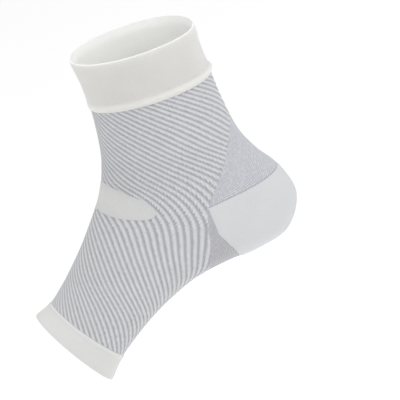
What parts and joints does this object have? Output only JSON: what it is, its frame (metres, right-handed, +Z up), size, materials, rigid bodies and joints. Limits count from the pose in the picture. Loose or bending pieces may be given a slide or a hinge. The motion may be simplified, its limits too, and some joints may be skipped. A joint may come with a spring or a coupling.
{
  "type": "arch support sleeve",
  "caption": "Open-toe knitted compression sleeve for foot and ankle, with a folded cuff, ribbed body, plain heel cup, instep patch and toe band.",
  "frame": {"origin": "centre of the ankle, inside the sleeve on the axis of the leg", "axes": "+Z up the leg, -Y towards the toes, +X towards the inner side of the right foot that it is shaped on"},
  "size_m": [0.0828, 0.1772, 0.1843],
  "materials": {
    "cuff_knit": "white fine knit, folded double, matte",
    "ribbed_knit": "white ribs on a light grey ground, matte",
    "panel_knit": "light grey plain knit with white flecks, matte",
    "heel_knit": "white looped knit, soft and matte",
    "patch_knit": "white plain knit, matte",
    "band_knit": "white fine knit band, matte"
  },
  "bodies": {
    "root": {"ankle_cuff": "cuff_knit", "ribbed_body": "ribbed_knit", "achilles_panel": "panel_knit", "heel_cup": "heel_knit", "under_heel_panel": "panel_knit", "instep_oval": "patch_knit", "toe_band": "band_knit"}
  },
  "joints": []
}
